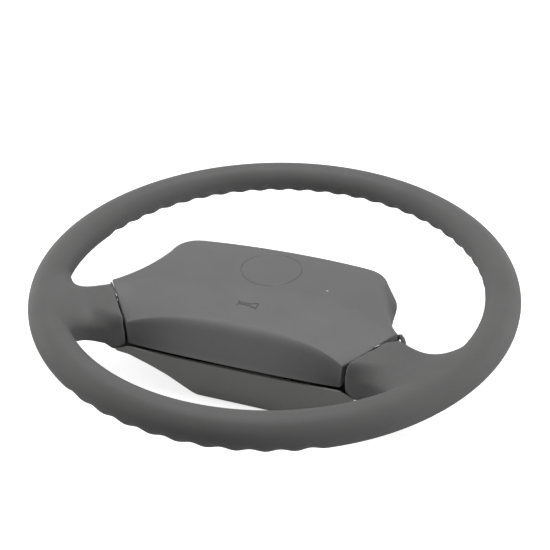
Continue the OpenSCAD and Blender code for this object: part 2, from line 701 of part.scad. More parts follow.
module contact_insulator() {
    top = fixed_top - dome_h - strip_t;
    color([0.75, 0.68, 0.5]) at_rim() difference() {
        union() {
            translate([-strip_l / 2 - 2, strip_y - strip_w / 2 - 2, plate_top_z])
                cube([strip_l + 4, strip_w + 4, top - plate_top_z]);
            translate([-strip_w / 2 - 2, strip_y, plate_top_z])
                cube([strip_w + 4, stud_y + 6 - strip_y, top - plate_top_z]);
        }
        translate([0, stud_y, plate_top_z - 1]) cylinder(d = stud_d + 2 * fit, h = 20);
        translate([0, 0, plate_top_z - 1]) cylinder(d = hub_d + 2 * clear, h = 20);
    }
}
module contact_stud() {
    ring_top = hub_low_z + slip_ring_t;
    color([0.78, 0.6, 0.3]) at_rim() {
        translate([0, stud_y, ring_top]) cylinder(d = stud_d, h = fixed_top - dome_h - ring_top);
        translate([0, stud_y, fixed_top - dome_h]) cylinder(d = stud_d + 2.4, h = 1);
    }
}
module stud_sleeve() {
    low = hub_low_z + slip_carrier_t;
    color([0.9, 0.88, 0.8]) at_rim() translate([0, stud_y, low]) difference() {
        cylinder(d = stud_d + 2 * stud_sleeve_wall, h = plate_top_z - low);
        translate([0, 0, -1]) cylinder(d = stud_d + 2 * fit, h = 60);
    }
}

// Slip ring at the back of the hub, on a carrier with two lugs that cancel the turn signal
module slip_ring_carrier() {
    color([0.12, 0.12, 0.13]) at_rim() difference() {
        union() {
            translate([0, 0, hub_low_z]) cylinder(d = slip_carrier_d, h = slip_carrier_t);
            translate([0, 0, hub_low_z]) cylinder(d = hub_d + 6, h = plate_low_z - flange_t - hub_low_z);
            for (a = [0, 180]) rotate([0, 0, a]) intersection() {
                translate([slip_carrier_d / 2 - 3, -5, hub_low_z - 2.5]) cube([3, 10, 5]);
                translate([0, 0, hub_low_z - 3]) cylinder(d = slip_carrier_d, h = 6);
            }
        }
        translate([0, 0, hub_low_z - 5]) cylinder(d = hub_d + 2 * fit, h = 60);
        slip_ring_groove(fit);
        translate([0, stud_y, hub_low_z - 1]) cylinder(d = stud_d + 2 * fit, h = slip_carrier_t + 2);
    }
}
module slip_ring_groove(c) {
    translate([0, 0, hub_low_z - 1]) difference() {
        cylinder(d = slip_ring_d + slip_ring_w + 2 * c, h = slip_ring_t + 1);
        translate([0, 0, -1]) cylinder(d = slip_ring_d - slip_ring_w - 2 * c, h = slip_ring_t + 3);
    }
}
module slip_ring() {
    color([0.78, 0.6, 0.3]) at_rim() translate([0, 0, hub_low_z - 0.4]) difference() {
        cylinder(d = slip_ring_d + slip_ring_w, h = slip_ring_t + 0.4);
        translate([0, 0, -1]) cylinder(d = slip_ring_d - slip_ring_w, h = slip_ring_t + 3);
    }
}

// Back cover: a tray with a keel-shaped bottom, open to the pad and round the column
cover_top_z = pad_low_z - cover_gap;
cover_corner_z = pad_low_z - 2.1;
cover_tip_z = arm_top_z - arm_t - 2.5;
cover_ear = [pad_front_x + 7, pad_front_y - 2.1];
cover_ear_z = spoke_bottom_z - spoke_belly - 0.3;
cover_side_x = low_waist - 3;
cover_rear_y = low_rear - 3;
cover_inset = 0.7;
cover_bend = seam_end + [6, 9];
cover_tip = seam_tip + 0.8 * seam_normal;
cover_front_y = pad_nose_y + cover_inset;
cover_steps = [8, 6, 7, 5, 4];
cover_edge = [
    [[0, cover_front_y], [pad_front_x - 29, cover_front_y], cover_ear],
    [cover_ear, cover_bend, cover_tip],
    [cover_tip, [cover_side_x + 6, -40], [cover_side_x, 4]],
    [[cover_side_x, 4], [cover_side_x - 1, cover_rear_y - 9], [pad_rear_x + 9, cover_rear_y - 6]],
    [[pad_rear_x + 9, cover_rear_y - 6], [pad_rear_x / 2, cover_rear_y], [0, cover_rear_y]]
];
cover_z = [[cover_top_z, cover_corner_z], [cover_ear_z, cover_tip_z], [cover_tip_z, cover_top_z],
           [cover_top_z, cover_top_z], [cover_top_z, cover_top_z]];
// Beside the pad's corner the cover's edge drops to an ear under the spoke, and stays low past the arm
cover_heights = [for (i = [0:4], k = [0:cover_steps[i] - 1])
    mix(cover_z[i][0], cover_z[i][1], pow(smooth(k / cover_steps[i]), i < 2 ? 2 : 1))];
// Height of the cover's bottom over its half width: a flat, a steep flank and shallow ends.
// The right flank is the deeper one.
keel_left = [[0, floor_z], [cover_flat_x, floor_z], [38, floor_z + 2], [60, floor_z + 15], [75, floor_z + 22],
             [95, floor_z + 30], [103, floor_z + 31], [132, floor_z + 36]];
keel_right = [[0, floor_z], [cover_flat_x, floor_z], [60, floor_z + 6], [75, floor_z + 12],
              [95, floor_z + 22], [104, floor_z + 26], [132, floor_z + 33]];
collar_r = column_d / 2 + 8;
cover_foot = 3;
function keel_z(p) = min(lookup(abs(p[0]), p[0] > 0 ? keel_right : keel_left),
    floor_z + max(0, norm(plan(p)) - collar_r) * 1.2);
cover_top = outline_ring(cover_edge, cover_steps, cover_heights);
function cover_opening(p) = column_d / 2 * plan(p) / norm(plan(p));
function over_keel(p, inset, rise, d) =
    let (q = inward(p, d + inset)) up(plan(q), min(keel_z(q) + rise + d, p[2] - 0.2 * (2.2 - rise)));
function cover_wall_rings(d) = [
    [for (p = cover_top) over_keel(p, cover_foot, 0, d)],
    [for (p = cover_top) over_keel(p, 0.9, 0.6, d)],
    [for (p = cover_top) over_keel(p, 0.2, 2, d)],
    [for (p = cover_top) inward(p, d)]
];
function cover_floor_rings(d) =
    let (start = [for (p = cover_top) plan(inward(p, d + cover_foot))])
    [for (s = [0.3, 0.62, 1]) [for (p = start) let (q = mix(p, cover_opening(p), s)) up(q, keel_z(q) + d)]];
module cover_shell() {
    ring_loop(concat(flipped(cover_floor_rings(0)), cover_wall_rings(0),
                     flipped(cover_wall_rings(cover_wall)), cover_floor_rings(cover_wall)));
}
module cover_block() {
    ring_body(thinned(concat(flipped(cover_floor_rings(cover_wall / 2)), cover_wall_rings(cover_wall / 2))));
}
screw_seat_z = floor_z + 20;
cover_rib_z = plate_low_z - 1;
module back_cover() {
    color([0.33, 0.33, 0.34]) at_rim() difference() {
        union() {
            cover_shell();
            intersection() {
                cover_block();
                union() {
                    for (p = cover_screws) rib(p, p + [0, sign(p[1]) * 26], floor_z, cover_rib_z);
                    both_sides() {
                        for (y = [cover_screw_front_y, cover_screw_rear_y])
                            rib([cover_screw_x, y], [cover_side_x - 8, y], floor_z, cover_rib_z);
                        rib([20, -70], [20, cover_front_y + cover_wall], floor_z, cover_rib_z);
                    }
                }
            }
            for (p = cover_screws) translate([p[0], p[1], keel_z(p) + 4])
                cylinder(d = boss_d + 3, h = plate_low_z - keel_z(p) - 4, $fn = 20);
        }
        for (p = cover_screws) translate([p[0], p[1], floor_z]) {
            cylinder(d = screw_d + 2 * fit, h = 60, $fn = 20);
            translate([0, 0, -1]) cylinder(d = screw_head_d + 1, h = screw_seat_z - floor_z + 1, $fn = 20);
        }
    }
}
module cover_screw(p) {
    color([0.7, 0.7, 0.72]) at_rim() translate([p[0], p[1], 0]) difference() {
        union() {
            translate([0, 0, screw_seat_z]) cylinder(d = screw_d, h = plate_top_z + 1 - screw_seat_z);
            translate([0, 0, screw_seat_z - screw_head_t])
                cylinder(d1 = screw_head_d - 2, d2 = screw_head_d, h = screw_head_t);
        }
        cross_recess(screw_seat_z - screw_head_t);
    }
}

// Spring clip astride an arm, with a tongue that stands in the seam
clip_drop = 4.5;
tongue_w = 4.5;
tongue_from = 2;
tongue_t = 0.6;
tongue_top_z = spoke_top_z - 1.5;
module seam_clip() {
    side = [-arm_dir[1], arm_dir[0]];
    meet = (seam_end + seam_cross * seam_dir - arm_start) * arm_dir;
    from = meet - (arm_w / 2 + clip_t) * (seam_dir * arm_dir) / (seam_dir * side) + seam_gap - 0.4 - clip_l;
    color([0.75, 0.75, 0.77]) at_rim() {
        along_arm() difference() {
            translate([from, -arm_w / 2 - clip_t, arm_top_z - clip_drop])
                cube([clip_l, arm_w + 2 * clip_t, clip_drop + clip_t]);
            translate([from - 1, -arm_w / 2, arm_top_z - clip_drop - 1])
                cube([clip_l + 2, arm_w, clip_drop + 1]);
        }
        at_seam() translate([seam_cross + tongue_from, -seam_gap / 2 - tongue_t / 2, arm_top_z])
            rotate([90, 0, 90]) linear_extrude(tongue_w)
                polygon([[0, 0.1], [seam_gap / 2 + tongue_t + 3, 0.1], [seam_gap / 2 + tongue_t + 3, clip_t - 0.1],
                         [tongue_t, clip_t - 0.1], [tongue_t, tongue_top_z - arm_top_z], [0, tongue_top_z - arm_top_z]]);
    }
}

rim_moulding();
armature();
hub_boss();
back_cover();
horn_pad();
pad_carrier();
moving_contact();
fixed_contact();
contact_insulator();
contact_stud();
stud_sleeve();
slip_ring_carrier();
slip_ring();
seam_clip();  // seam_clip_right
mirror([1, 0, 0]) seam_clip();  // seam_clip_left
for (i = [1:4]) {
    guide_post(posts[i - 1]);
    guide_bush(posts[i - 1]);
    horn_spring(posts[i - 1]);
    cover_screw(cover_screws[i - 1]);
    pad_screw(pad_screws[i - 1]);
}
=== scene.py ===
# Car steering wheel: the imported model, with its visible mouldings made smooth, in a plain studio
import json
import math

import bmesh
import bpy
from mathutils import Matrix, Vector


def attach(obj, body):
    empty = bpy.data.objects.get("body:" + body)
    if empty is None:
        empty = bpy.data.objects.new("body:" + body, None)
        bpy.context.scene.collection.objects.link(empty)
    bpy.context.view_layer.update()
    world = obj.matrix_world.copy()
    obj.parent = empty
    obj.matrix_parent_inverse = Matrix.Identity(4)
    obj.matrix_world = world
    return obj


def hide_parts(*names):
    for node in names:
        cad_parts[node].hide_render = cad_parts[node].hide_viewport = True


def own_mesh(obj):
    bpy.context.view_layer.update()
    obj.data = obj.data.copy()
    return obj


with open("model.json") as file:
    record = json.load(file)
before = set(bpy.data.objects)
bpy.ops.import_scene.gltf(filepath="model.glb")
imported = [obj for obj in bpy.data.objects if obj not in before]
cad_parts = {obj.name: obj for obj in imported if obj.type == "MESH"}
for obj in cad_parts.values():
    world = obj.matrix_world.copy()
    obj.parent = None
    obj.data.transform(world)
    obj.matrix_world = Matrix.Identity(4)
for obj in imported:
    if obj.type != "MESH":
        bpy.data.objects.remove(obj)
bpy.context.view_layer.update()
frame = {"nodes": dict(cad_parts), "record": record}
print("frame loaded,", len(frame["nodes"]), "nodes")

mm = 0.001
rimHeight = 59  # middle of the rim over the floor, in mm


def place(x, y, z):
    return Vector((x, y, z + rimHeight)) * mm


def mix(a, b, t):
    return a + (b - a) * t


def clamp(t):
    return max(0.0, min(1.0, t))


def smooth(t):
    t = clamp(t)
    return t * t * (3 - 2 * t)


def quad(curve, t):
    a, b, c = (Vector(p) for p in curve)
    return a * (1 - t) ** 2 + b * 2 * t * (1 - t) + c * t * t


def cubic(curve, t):
    a, b, c, d = (Vector(p) for p in curve)
    return a * (1 - t) ** 3 + b * 3 * t * (1 - t) ** 2 + c * 3 * t * t * (1 - t) + d * t ** 3


def lineDistance(point, line):
    best = 1e9
    for a, b in zip(line, line[1:]):
        t = clamp((point - a).dot(b - a) / (b - a).length_squared)
        best = min(best, (point - a - (b - a) * t).length)
    return best


# Edges of a closed loop of vertices, in order
def loopEdges(bm, loop):
    return [bm.edges.get((loop[i - 1], loop[i])) for i in range(len(loop))]


# A new circle's vertices in their order round it
def addCircle(bm, count, radius):
    loop = [bmesh.ops.create_circle(bm, segments=count, radius=radius)["verts"][-1]]
    while len(loop) < count:
        beside = (e.other_vert(loop[-1]) for e in loop[-1].link_edges)
        loop.append(next(v for v in beside if v not in loop[-2:]))
    return loop


# A skin through rings of equal length: a circle, extruded from ring to ring
def loft(bm, rings, fillStart=False, fillEnd=False, closed=False):
    loop = addCircle(bm, len(rings[0]), 1)
    start = list(loop)
    for vert, point in zip(loop, rings[0]):
        vert.co = point
    for ring in rings[1:]:
        made = bmesh.ops.extrude_edge_only(bm, edges=loopEdges(bm, loop))["geom"]
        fresh = {g for g in made if isinstance(g, bmesh.types.BMVert)}
        loop = [next(e.other_vert(v) for e in v.link_edges if e.other_vert(v) in fresh) for v in loop]
        for vert, point in zip(loop, ring):
            vert.co = point
    for wanted, end in ((fillStart, start), (fillEnd, loop)):
        if wanted:
            bmesh.ops.edgeloop_fill(bm, edges=loopEdges(bm, end))
    if closed:
        bmesh.ops.bridge_loops(bm, edges=loopEdges(bm, start) + loopEdges(bm, loop))


# A plain object for work in between, from a bmesh that it uses up
def workPiece(name, bm):
    mesh = bpy.data.meshes.new(name)
    bm.to_mesh(mesh)
    bm.free()
    piece = bpy.data.objects.new(name, mesh)
    bpy.context.scene.collection.objects.link(piece)
    return piece


# The bmesh of a work piece, which goes away
def takeBack(piece):
    bm = bmesh.new()
    bm.from_mesh(piece.data)
    bpy.data.objects.remove(piece)
    return bm


# The mesh of a piece with its modifiers applied
def applyModifiers(piece):
    graph = bpy.context.evaluated_depsgraph_get()
    mesh = bpy.data.meshes.new_from_object(piece.evaluated_get(graph))
    piece.modifiers.clear()
    piece.data = mesh


# A finished piece: edges sharper than the angle stay sharp
def finishPiece(name, bm, body, slotName, replaced, angle):
    bmesh.ops.remove_doubles(bm, verts=bm.verts, dist=1e-6)
    bmesh.ops.recalc_face_normals(bm, faces=bm.faces)
    for edge in bm.edges:
        edge.smooth = not edge.is_manifold or edge.calc_face_angle(0) < math.radians(angle)
    for face in bm.faces:
        face.smooth = True
    piece = workPiece(name, bm)
    piece.data.materials.append(materials[slotName])
    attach(piece, body)
    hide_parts(*replaced)
    return piece


# Materials: a moulded skin and a worked metal, each with its own looks
skinLook = dict(mottleScale=28, mottle=0.05, patchScale=9, patch=0.05, roughness=0.5, specular=0.25,
                edgeWear=0.25, wornFrom=0.5, wornTo=0.56, wornPaler=1.5, grainScale=780, grain=0.35,
                grainDepth=0.00018, grainWarp=0.0015, warpScale=0.6, fineScale=2.5, fineShare=0.35, specks=[])
metalLook = dict(metallic=1.0, stretch=(1, 1, 1), lineScale=260, bump=0.1, bumpDepth=0.0001,
                 patchScale=45, duller=0.86, rougher=0.1, smoother=0.06)


def newMaterial(name):
    material = bpy.data.materials.new(name)
    material.use_nodes = True
    nodes = material.node_tree.nodes
    nodes.clear()
    output = nodes.new("ShaderNodeOutputMaterial")
    shader = nodes.new("ShaderNodeBsdfPrincipled")
    material.node_tree.links.new(shader.outputs[0], output.inputs[0])
    return material, nodes, material.node_tree.links, shader


def noiseNode(nodes, links, coords, scale, detail, roughness):
    noise = nodes.new("ShaderNodeTexNoise")
    noise.inputs["Scale"].default_value = scale
    noise.inputs["Detail"].default_value = detail
    noise.inputs["Roughness"].default_value = roughness
    links.new(coords, noise.inputs["Vector"])
    return noise.outputs[0]


def rampNode(nodes, links, value, first, last):
    ramp = nodes.new("ShaderNodeValToRGB")
    for element, (position, colour) in zip(ramp.color_ramp.elements, (first, last)):
        element.position, element.color = position, (*colour, 1)
    links.new(value, ramp.inputs[0])
    return ramp.outputs[0]


def rangeNode(nodes, links, value, low, high, fromLow=0.0, fromHigh=1.0):
    remap = nodes.new("ShaderNodeMapRange")
    remap.inputs["From Min"].default_value = fromLow
    remap.inputs["From Max"].default_value = fromHigh
    remap.inputs["To Min"].default_value = low
    remap.inputs["To Max"].default_value = high
    links.new(value, remap.inputs["Value"])
    return remap.outputs[0]


def blendNode(nodes, links, share, below, colour):
    blend = nodes.new("ShaderNodeMix")
    blend.data_type = "RGBA"
    links.new(share, blend.inputs[0])
    links.new(below, blend.inputs[6])
    blend.inputs[7].default_value = (*colour, 1)
    return blend.outputs[2]


def bumpNode(nodes, links, height, strength, depth, shader):
    bump = nodes.new("ShaderNodeBump")
    bump.inputs["Strength"].default_value = strength
    bump.inputs["Distance"].default_value = depth
    links.new(height, bump.inputs["Height"])
    links.new(bump.outputs[0], shader.inputs["Normal"])


def shade(colour, factor):
    return tuple(c * factor for c in colour)


# Moulded plastic with a leather grain, slightly mottled, with paler handled edges
def mouldedPlastic(name, look):
    material, nodes, links, shader = newMaterial(name)
    coords = nodes.new("ShaderNodeTexCoord").outputs["Object"]
    mottle = noiseNode(nodes, links, coords, look["mottleScale"], 4, 0.6)
    tone = rampNode(nodes, links, mottle, (0.3, shade(look["colour"], 1 - look["mottle"])),
                    (0.7, shade(look["colour"], 1 + look["mottle"])))
    edge = nodes.new("ShaderNodeNewGeometry").outputs["Pointiness"]
    worn = rangeNode(nodes, links, edge, 0, look["edgeWear"], look["wornFrom"], look["wornTo"])
    colour = blendNode(nodes, links, worn, tone, shade(look["colour"], look["wornPaler"]))
    for spot in look["specks"]:
        away = nodes.new("ShaderNodeVectorMath")
        away.operation = "DISTANCE"
        links.new(coords, away.inputs[0])
        away.inputs[1].default_value = spot["at"]
        mask = rangeNode(nodes, links, away.outputs["Value"], 1, 0, spot["radius"] * 0.5, spot["radius"])
        colour = blendNode(nodes, links, mask, colour, spot["colour"])
    links.new(colour, shader.inputs["Base Color"])
    patches = noiseNode(nodes, links, coords, look["patchScale"], 3, 0.5)
    gloss = rangeNode(nodes, links, patches, look["roughness"] - look["patch"], look["roughness"] + look["patch"],
                      0.3, 0.7)
    links.new(gloss, shader.inputs["Roughness"])
    cells = nodes.new("ShaderNodeTexVoronoi")
    cells.inputs["Scale"].default_value = look["grainScale"]
    warp = nodes.new("ShaderNodeMix")
    warp.data_type = "VECTOR"
    warp.inputs[0].default_value = look["grainWarp"]
    drift = nodes.new("ShaderNodeTexNoise")
    drift.inputs["Scale"].default_value = look["grainScale"] * look["warpScale"]
    links.new(coords, drift.inputs["Vector"])
    links.new(coords, warp.inputs[4])
    links.new(drift.outputs[1], warp.inputs[5])
    links.new(warp.outputs[1], cells.inputs["Vector"])
    fine = noiseNode(nodes, links, coords, look["grainScale"] * look["fineScale"], 2, 0.5)
    height = nodes.new("ShaderNodeMath")
    height.operation = "MULTIPLY_ADD"
    links.new(fine, height.inputs[0])
    height.inputs[1].default_value = look["fineShare"]
    links.new(cells.outputs["Distance"], height.inputs[2])
    bumpNode(nodes, links, height.outputs[0], look["grain"], look["grainDepth"], shader)
    shader.inputs["Specular IOR Level"].default_value = look["specular"]
    return material


# Metal with fine brushed or drawn lines and a few duller patches
def workedMetal(name, look):
    material, nodes, links, shader = newMaterial(name)
    coords = nodes.new("ShaderNodeTexCoord").outputs["Object"]
    stretch = nodes.new("ShaderNodeMapping")
    stretch.inputs["Scale"].default_value = look["stretch"]
    links.new(coords, stretch.inputs["Vector"])
    lines = noiseNode(nodes, links, stretch.outputs[0], look["lineScale"], 4, 0.6)
    dull = noiseNode(nodes, links, coords, look["patchScale"], 4, 0.6)
    tone = rampNode(nodes, links, dull, (0.35, shade(look["colour"], look["duller"])), (0.65, look["colour"]))
    links.new(tone, shader.inputs["Base Color"])
    gloss = rangeNode(nodes, links, dull, look["roughness"] + look["rougher"], look["roughness"] - look["smoother"],
                      0.3, 0.7)
    links.new(gloss, shader.inputs["Roughness"])
    bumpNode(nodes, links, lines, look["bump"], look["bumpDepth"], shader)
    shader.inputs["Metallic"].default_value = look["metallic"]
    return material


padSpeck = dict(at=place(57.7, -22.9, 14.1), radius=0.0011, colour=(0.6, 0.6, 0.6))
materials = {
    "rim_foam": mouldedPlastic("rimFoam", dict(
        skinLook, colour=(0.115, 0.115, 0.114), patch=0.08, grain=0.3)),
    "pad_plastic": mouldedPlastic("padPlastic", dict(
        skinLook, colour=(0.119, 0.119, 0.119), roughness=0.45, specular=0.4, grainScale=950, specks=[padSpeck])),
    # The cover's grey is lighter than the pad's: partly its own paler plastic, partly painted bounce light, because
    # the floor lights the downward-facing cover more dimly than the floor looks.
    "cover_plastic": mouldedPlastic("coverPlastic", dict(
        skinLook, colour=(0.27, 0.27, 0.264), roughness=0.6, grainScale=950)),
    "carrier_plastic": mouldedPlastic("carrierPlastic", dict(
        skinLook, colour=(0.02, 0.02, 0.022), roughness=0.45, grain=0.1)),
    "bush_plastic": mouldedPlastic("bushNylon", dict(
        skinLook, colour=(0.72, 0.69, 0.6), roughness=0.4, grain=0.08)),
    "insulating_board": mouldedPlastic("pressedBoard", dict(
        skinLook, colour=(0.32, 0.2, 0.09), roughness=0.7, mottle=0.15)),
    "frame_black": workedMetal("framePaint", dict(
        metalLook, colour=(0.02, 0.02, 0.021), roughness=0.4, metallic=0.0, bump=0.25, lineScale=300)),
    "hub_steel": workedMetal("hubSteel", dict(
        metalLook, colour=(0.42, 0.42, 0.43), roughness=0.34, bump=0.3, stretch=(1, 1, 40), lineScale=120)),
    "carrier_steel": workedMetal("carrierZinc", dict(
        metalLook, colour=(0.5, 0.5, 0.48), roughness=0.38, bump=0.15, stretch=(1, 8, 1), lineScale=200)),
    "contact_brass": workedMetal("contactBrass", dict(
        metalLook, colour=(0.72, 0.5, 0.2), roughness=0.3, stretch=(8, 1, 1), lineScale=200)),
    "clip_steel": workedMetal("clipSteel", dict(
        metalLook, colour=(0.6, 0.6, 0.61), roughness=0.32, bump=0.12, stretch=(1, 6, 1))),
    "spring_steel": workedMetal("springWire", dict(
        metalLook, colour=(0.4, 0.4, 0.41), roughness=0.3, stretch=(1, 1, 6))),
    "screw_zinc": workedMetal("screwZinc", dict(
        metalLook, colour=(0.58, 0.56, 0.5), roughness=0.35, stretch=(1, 1, 6))),
}
slotOf = {row["node"]: row["material_slot"] for row in frame["record"]["subparts"]}
for node, piece in frame["nodes"].items():
    piece.data.materials.clear()
    piece.data.materials.append(materials[slotOf[node]])
print("materials on", len(slotOf), "nodes")

# The seam between pad and right spoke, in plan: from its front end to the pad's tip, in mm
seam = dict(front=(96, -106.5), tip=(130.5, -63))
seamEnd, seamTip = Vector(seam["front"]), Vector(seam["tip"])
seamDir = (seamTip - seamEnd).normalized()
seamNormal = Vector((seamDir.y, -seamDir.x))

# Rim: a spun grip with finger waves at its top and bottom; waves are counts at an angle
rim = dict(radius=204.4, gripHalf=15.5, squash=0.978, sides=48, turns=720, waveDepth=1.8, wavesPerTurn=60,
           waves={90: 26, 270: 10}, waveFade=0.6, voxel=1.42, melt=6, seamKeep=0.8, seamStep=0.6)


def waveAt(angle):
    for middle, waves in rim["waves"].items():
        span = waves * 360 / rim["wavesPerTurn"]
        if abs(angle - middle) < span / 2:
            return (1 - math.cos(math.radians((angle - middle + span / 2) * rim["wavesPerTurn"]))) / 2
    return 0.0


def addGrip(bm):
    ring = addCircle(bm, rim["sides"], rim["gripHalf"])
    bmesh.ops.rotate(bm, verts=ring, matrix=Matrix.Rotation(math.pi / 2, 3, "X"))
    bmesh.ops.translate(bm, verts=ring, vec=(rim["radius"], 0, 0))
    bmesh.ops.spin(bm, geom=ring + loopEdges(bm, ring), axis=(0, 0, 1), cent=(0, 0, 0), steps=rim["turns"],
                   angle=math.tau, use_merge=True)
    for vert in bm.verts:
        x, y, z = vert.co
        angle = math.degrees(math.atan2(y, x)) % 360
        side = math.atan2(z, math.hypot(x, y) - rim["radius"])
        grip = rim["gripHalf"] - rim["waveDepth"] * waveAt(angle) * smooth(-math.sin(side) / rim["waveFade"])
        reach = rim["radius"] + grip * math.cos(side)
        turn = math.radians(angle)
        vert.co = place(reach * math.cos(turn), reach * math.sin(turn), grip * math.sin(side) * rim["squash"])


# Spokes: a patch between four edges, u from the seam to the rim and v from rear to front.
# A rate says how fast a form runs along u, a power how full a rounding is.
spoke = dict(gap=1.7, setback=0.5, topZ=11.5, creaseZ=6.5, bottomZ=-22.4, rearBottomZ=-17, belly=5.4, dish=1.5,
             rearAngle=-5, rearPull=(41, -21), rearJoin=(0.88, -0.225),
             frontAngle=-45, frontPull=(23.6, -11.5), frontJoin=(0.655, -0.548),
             sink=0.5, riseLength=40, rearRound=4, frontRound=9, footRound=2.5, rimBlend=28,
             rearPower=2, frontPower=2.4, footPower=3,
             dishRate=1.6, bottomRate=1.25, bellyRate=4, rearRate=1.3, frontRate=3,
             along=44, across=40, edgeSteps=60)


def onRim(degrees):
    turn = math.radians(degrees)
    return Vector((math.cos(turn), math.sin(turn))) * rim["radius"]


spokeFront = seamEnd + seamNormal * spoke["gap"]
spokeRear = seamTip + seamNormal * spoke["gap"] - seamDir * spoke["setback"]
rimRear, rimFront = onRim(spoke["rearAngle"]), onRim(spoke["frontAngle"])
rearCurve = (spokeRear, spokeRear + Vector(spoke["rearPull"]), Vector(spoke["rearJoin"]) * rim["radius"], rimRear)
frontCurve = (spokeFront, spokeFront + Vector(spoke["frontPull"]), Vector(spoke["frontJoin"]) * rim["radius"],
              rimFront)
rearLine, frontLine = ([cubic(curve, i / spoke["edgeSteps"]) for i in range(spoke["edgeSteps"] + 1)]
                       for curve in (rearCurve, frontCurve))


def spokePlan(u, v):
    arc = onRim(mix(spoke["rearAngle"], spoke["frontAngle"], v))
    return (cubic(rearCurve, u) * (1 - v) + cubic(frontCurve, u) * v
            + mix(spokeRear, spokeFront, v) * (1 - u) + arc * u
            - spokeRear * (1 - u) * (1 - v) - spokeFront * (1 - u) * v
            - rimRear * u * (1 - v) - rimFront * u * v)


def roundedEdge(distance, radius, power):
    return 1.0 if distance >= radius else (1 - (1 - distance / radius) ** power) ** (1 / power)


def spokePoint(u, v, top):
    plan = spokePlan(u, v)
    rise = smooth((plan.length - rim["radius"] + spoke["riseLength"]) / spoke["riseLength"])
    dish = spoke["dish"] * math.sin(math.pi * min(1, u * spoke["dishRate"]))
    belly = spoke["belly"] * v * math.sin(math.pi * min(1, u * spoke["bellyRate"]))
    high = mix(mix(spoke["topZ"], spoke["creaseZ"], v * v) - dish, rim["gripHalf"] - spoke["sink"], rise)
    low = mix(mix(spoke["rearBottomZ"], spoke["bottomZ"], v), spoke["sink"] - rim["gripHalf"],
              smooth(u * spoke["bottomRate"])) - belly
    middle = (high + low) / 2
    rearRadius = mix(spoke["rearRound"], spoke["rimBlend"], smooth(u * spoke["rearRate"]))
    rear = roundedEdge(0 if v == 0 else lineDistance(plan, rearLine), rearRadius, spoke["rearPower"])
    frontRadius, frontPower = spoke["footRound"], spoke["footPower"]
    if top:
        frontRadius = mix(spoke["frontRound"], spoke["rimBlend"], smooth(u * spoke["frontRate"]))
        frontPower = spoke["frontPower"]
    front = 0 if v == 1 else roundedEdge(lineDistance(plan, frontLine), frontRadius, frontPower)
    return place(plan.x, plan.y, middle + ((high if top else low) - middle) * rear * front)


def addSpokes(bm):
    shares = [(1 - math.cos(math.pi * k / spoke["across"])) / 2 for k in range(spoke["across"] + 1)]
    rings = []
    for i in range(spoke["along"] + 1):
        u = i / spoke["along"]
        rings.append([spokePoint(u, v, True) for v in shares] + [spokePoint(u, v, False) for v in shares[-2:0:-1]])
    loft(bm, rings, True, True)
    loft(bm, [[Vector((-p.x, p.y, p.z)) for p in ring] for ring in rings], True, True)


hook = dict(path=((136.5, -66, 1.5), (135.6, -63.3, 4.6), (133.6, -60, 6.3), (131.4, -57.2, 6.2),
                  (129.5, -54.8, 4), (127.9, -53.2, 0), (127.4, -52.7, -2.5)), radius=1.9, sides=16)


# The small hook at the right spoke's rear corner, a round bar along a path
def addHook(bm):
    points = [place(*p) for p in hook["path"]]
    rings = []
    for i, point in enumerate(points):
        along = (points[min(i + 1, len(points) - 1)] - points[max(i - 1, 0)]).normalized()
        side = along.cross(Vector((0, 0, 1))).normalized()
        over = side.cross(along)
        turns = [math.tau * k / hook["sides"] for k in range(hook["sides"])]
        rings.append([point + (side * math.cos(t) + over * math.sin(t)) * hook["radius"] * mm for t in turns])
    loft(bm, rings, True, True)


# Distance of a vertex from the spoke's end at the seam, in mm
def seamAway(vert):
    q = Vector((abs(vert.co.x), vert.co.y)) / mm - seamEnd
    along = q.dot(seamDir)
    beside = max(-along, along - (seamTip - seamEnd).length, 0)
    return math.hypot(abs(q.dot(seamNormal) - spoke["gap"]), beside)


# Lips on the spokes' ends close most of the seam behind the arm.
# A side has its end along the seam, near and far across it, and highZ.
lip = dict(start=36.4, sides={1: (44.5, 0.5, 3.2, 9.7), -1: (55.4, 0.3, 2.1, 10.1)}, lowZ=-0.8)


def addLips(bm):
    for side, (end, near, far, highZ) in lip["sides"].items():
        middle = seamEnd + seamDir * (lip["start"] + end) / 2 + seamNormal * (near + far) / 2
        size = Vector((end - lip["start"], far - near, highZ - lip["lowZ"])) * mm
        turn = Matrix.Rotation(side * math.atan2(seamDir.y, seamDir.x), 3, "Z")
        box = bmesh.ops.create_cube(bm, size=1)["verts"]
        bmesh.ops.scale(bm, verts=box, vec=size)
        bmesh.ops.rotate(bm, verts=box, matrix=turn)
        bmesh.ops.translate(bm, verts=box, vec=place(side * middle.x, middle.y, (lip["lowZ"] + highZ) / 2))


# The right spoke's rear corner stands back from the seam, and the hook bridges it
notch = dict(start=45, run=4, shallow=0.9, depth=3.4, before=-2, reach=9, alongFrom=-25, alongTo=75)


def cutNotch(bm):
    for vert in bm.verts:
        q = vert.co.xy / mm - seamEnd
        along, away = q.dot(seamDir), q.dot(seamNormal) - spoke["gap"]
        back = mix(notch["shallow"], notch["depth"], smooth((along - notch["start"]) / notch["run"]))
        if notch["before"] < away < notch["reach"] and notch["alongFrom"] < along < notch["alongTo"]:
            vert.co.xy += seamNormal * back * (1 - max(0, away) / notch["reach"]) * mm


